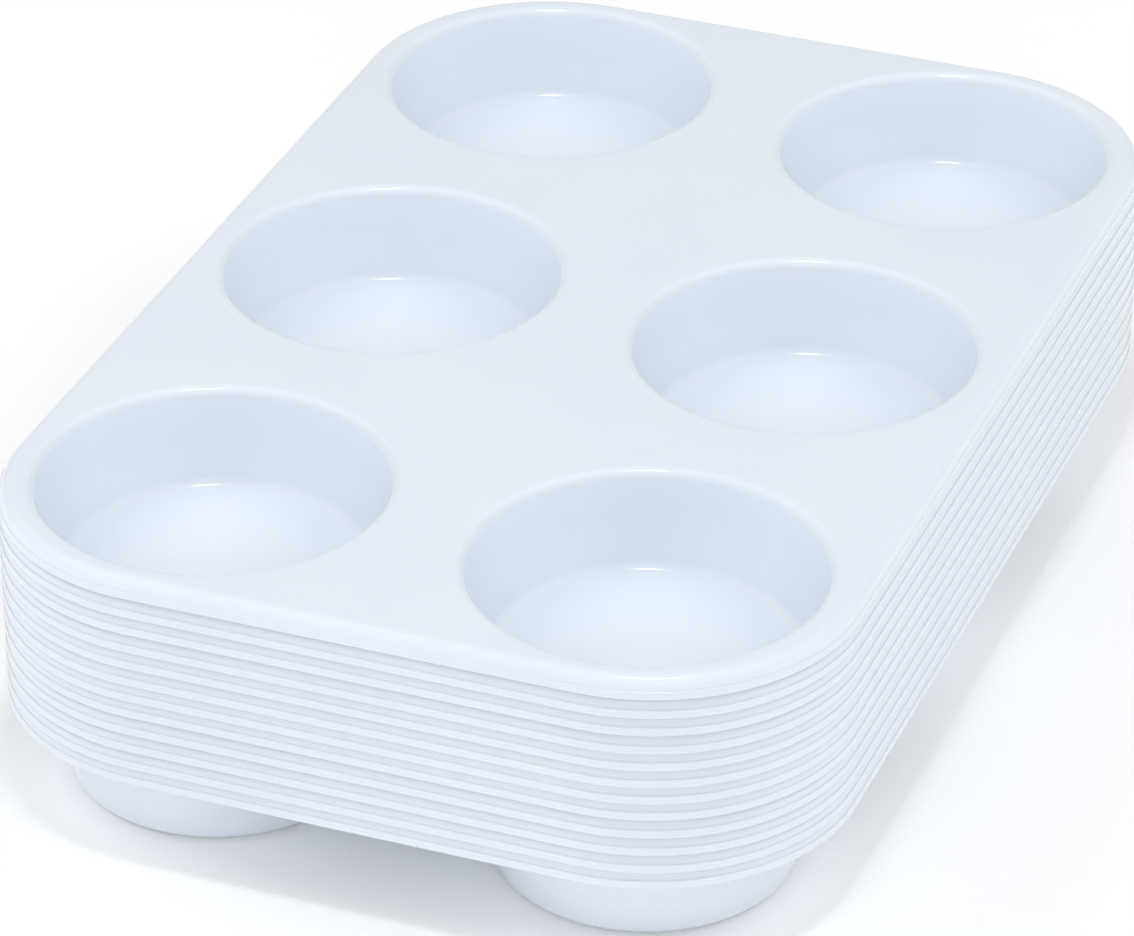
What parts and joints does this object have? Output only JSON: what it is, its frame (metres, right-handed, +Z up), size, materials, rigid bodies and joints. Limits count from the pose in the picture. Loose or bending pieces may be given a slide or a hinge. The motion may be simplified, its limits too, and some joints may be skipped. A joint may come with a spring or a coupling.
{
  "type": "mixing palette",
  "caption": "Nested stack of rectangular paint mixing palettes with rounded corners, deep round wells and a lipped edge.",
  "frame": {"origin": "middle of the stack's footprint, on the level its lowest foot rings stand on", "axes": "+X along the short side, +Y along the long side, +Z up out of the wells"},
  "size_m": [0.165, 0.25, 0.0613],
  "materials": {
    "white_plastic": "gloss"
  },
  "bodies": {
    "palette_01": {"palette_01": "white_plastic"},
    "palette_02": {"palette_02": "white_plastic"},
    "palette_03": {"palette_03": "white_plastic"},
    "palette_04": {"palette_04": "white_plastic"},
    "palette_05": {"palette_05": "white_plastic"},
    "palette_06": {"palette_06": "white_plastic"},
    "palette_07": {"palette_07": "white_plastic"},
    "palette_08": {"palette_08": "white_plastic"},
    "palette_09": {"palette_09": "white_plastic"},
    "palette_10": {"palette_10": "white_plastic"},
    "palette_11": {"palette_11": "white_plastic"},
    "palette_12": {"palette_12": "white_plastic"}
  },
  "joints": [
    {"name": "lift_02", "type": "slide", "parent": "palette_01", "child": "palette_02", "axis": [0, 0, 1], "range_m": [0, 0.03]},
    {"name": "lift_03", "type": "slide", "parent": "palette_02", "child": "palette_03", "axis": [0, 0, 1], "range_m": [0, 0.03]},
    {"name": "lift_04", "type": "slide", "parent": "palette_03", "child": "palette_04", "axis": [0, 0, 1], "range_m": [0, 0.03]},
    {"name": "lift_05", "type": "slide", "parent": "palette_04", "child": "palette_05", "axis": [0, 0, 1], "range_m": [0, 0.03]},
    {"name": "lift_06", "type": "slide", "parent": "palette_05", "child": "palette_06", "axis": [0, 0, 1], "range_m": [0, 0.03]},
    {"name": "lift_07", "type": "slide", "parent": "palette_06", "child": "palette_07", "axis": [0, 0, 1], "range_m": [0, 0.03]},
    {"name": "lift_08", "type": "slide", "parent": "palette_07", "child": "palette_08", "axis": [0, 0, 1], "range_m": [0, 0.03]},
    {"name": "lift_09", "type": "slide", "parent": "palette_08", "child": "palette_09", "axis": [0, 0, 1], "range_m": [0, 0.03]},
    {"name": "lift_10", "type": "slide", "parent": "palette_09", "child": "palette_10", "axis": [0, 0, 1], "range_m": [0, 0.03]},
    {"name": "lift_11", "type": "slide", "parent": "palette_10", "child": "palette_11", "axis": [0, 0, 1], "range_m": [0, 0.03]},
    {"name": "lift_12", "type": "slide", "parent": "palette_11", "child": "palette_12", "axis": [0, 0, 1], "range_m": [0, 0.03]}
  ]
}
